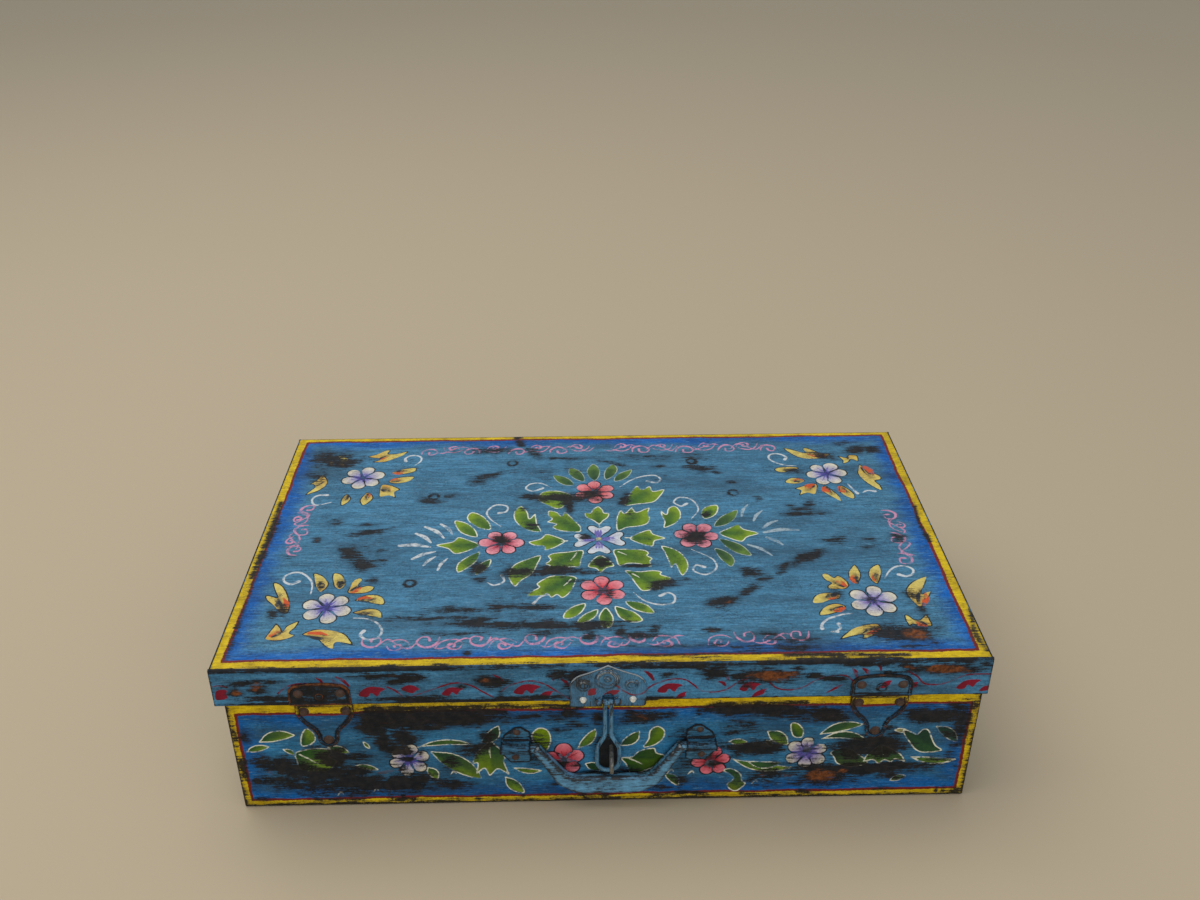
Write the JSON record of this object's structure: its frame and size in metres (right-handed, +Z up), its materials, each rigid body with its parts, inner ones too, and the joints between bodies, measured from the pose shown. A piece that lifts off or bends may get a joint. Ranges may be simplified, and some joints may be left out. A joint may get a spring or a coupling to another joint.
{
  "type": "small tin trunk",
  "caption": "Shallow folded sheet-steel storage trunk with a hinged overlapping lid, padlock hasp and staple, hanging front handle and riveted side catches.",
  "frame": {"origin": "centre of the trunk's base, on the surface it stands on", "axes": "+X to the right along the front, the front faces -Y, +Z up"},
  "size_m": [0.61, 0.3855, 0.151],
  "materials": {
    "painted_body": "hand-painted blue gloss enamel with flowers and yellow borders, chipped and worn to dark steel",
    "painted_lid": "hand-painted blue gloss enamel with flowers and yellow borders, chipped and worn to dark steel",
    "rim_wire": "dull oxidised steel",
    "painted_hinges": "blue enamel, worn",
    "bare_pins": "rubbed, slightly rusty steel",
    "rivets": "painted over, worn to brown steel on the crowns",
    "hasp_rivets": "rubbed bright on the crowns",
    "painted_hasp": "light blue enamel, edges worn",
    "worn_staple": "worn bright on its front, brown beside",
    "backing_plate": "dull steel",
    "painted_handle": "light blue enamel, rubbed dark along the edges",
    "rusty_catches": "blue and yellow enamel over rust, rims brown"
  },
  "bodies": {
    "body": {"body_wrap": "painted_body", "body_end_left": "painted_body", "body_end_right": "painted_body", "body_rim_wire": "rim_wire", "hinge_lower_leaf_left": "painted_hinges", "hinge_lower_leaf_right": "painted_hinges", "hinge_pin_left": "bare_pins", "hinge_pin_right": "bare_pins", "hinge_lower_rivets": "rivets", "staple": "worn_staple", "staple_backing_plate": "backing_plate", "handle_bracket_left": "painted_handle", "handle_bracket_right": "painted_handle", "handle_bracket_rivets": "rivets", "catch_lower_left": "rusty_catches", "catch_lower_right": "rusty_catches", "catch_lower_rivets": "rivets"},
    "lid": {"lid_pan": "painted_lid", "lid_end_left": "painted_lid", "lid_end_right": "painted_lid", "hinge_upper_leaf_left": "painted_hinges", "hinge_upper_leaf_right": "painted_hinges", "hinge_upper_rivets": "rivets", "hasp_plate": "painted_hasp", "hasp_plate_rivets": "hasp_rivets", "hasp_pin": "bare_pins", "catch_upper_left": "rusty_catches", "catch_upper_right": "rusty_catches", "catch_upper_rivets": "rivets"},
    "hasp": {"hasp_loop": "painted_hasp"},
    "handle": {"handle": "painted_handle"}
  },
  "joints": [
    {"name": "lid_hinge", "type": "hinge", "parent": "body", "child": "lid", "pos_m": [0, 0.1839, 0.1113], "axis": [-1, 0, 0], "range_deg": [0, 180]},
    {"name": "hasp_hinge", "type": "hinge", "parent": "lid", "child": "hasp", "pos_m": [0.002, -0.1839, 0.1155], "axis": [-1, 0, 0], "range_deg": [0, 168]},
    {"name": "handle_pivot", "type": "hinge", "parent": "body", "child": "handle", "pos_m": [0.0025, -0.182, 0.066], "axis": [-1, 0, 0], "range_deg": [0, 150]}
  ]
}
